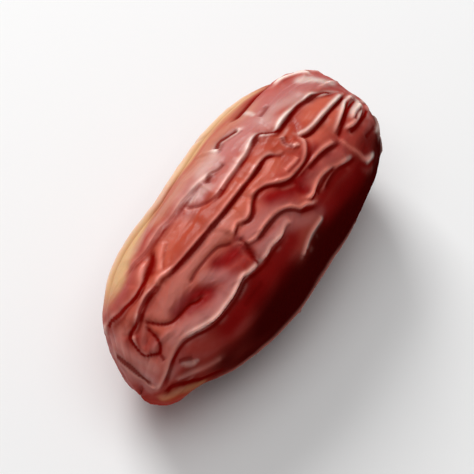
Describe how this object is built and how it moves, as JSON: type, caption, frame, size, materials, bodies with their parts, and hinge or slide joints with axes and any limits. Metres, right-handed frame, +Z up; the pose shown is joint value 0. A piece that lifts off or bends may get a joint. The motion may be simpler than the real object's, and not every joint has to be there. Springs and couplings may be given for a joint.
{
  "type": "kalmi date",
  "caption": "Dried elongated date fruit with blunt ends and a skin shrunk into long wandering folds, lying on its side.",
  "frame": {"origin": "middle of the fruit's bounding box in X and Y, at the height of the surface it lies on", "axes": "+X along the fruit towards the end where the stem was, -X towards the tip, +Z up"},
  "size_m": [0.0438, 0.0206, 0.0188],
  "materials": {
    "date_skin": null
  },
  "bodies": {
    "root": {"kalmi_date": "date_skin"}
  },
  "joints": []
}
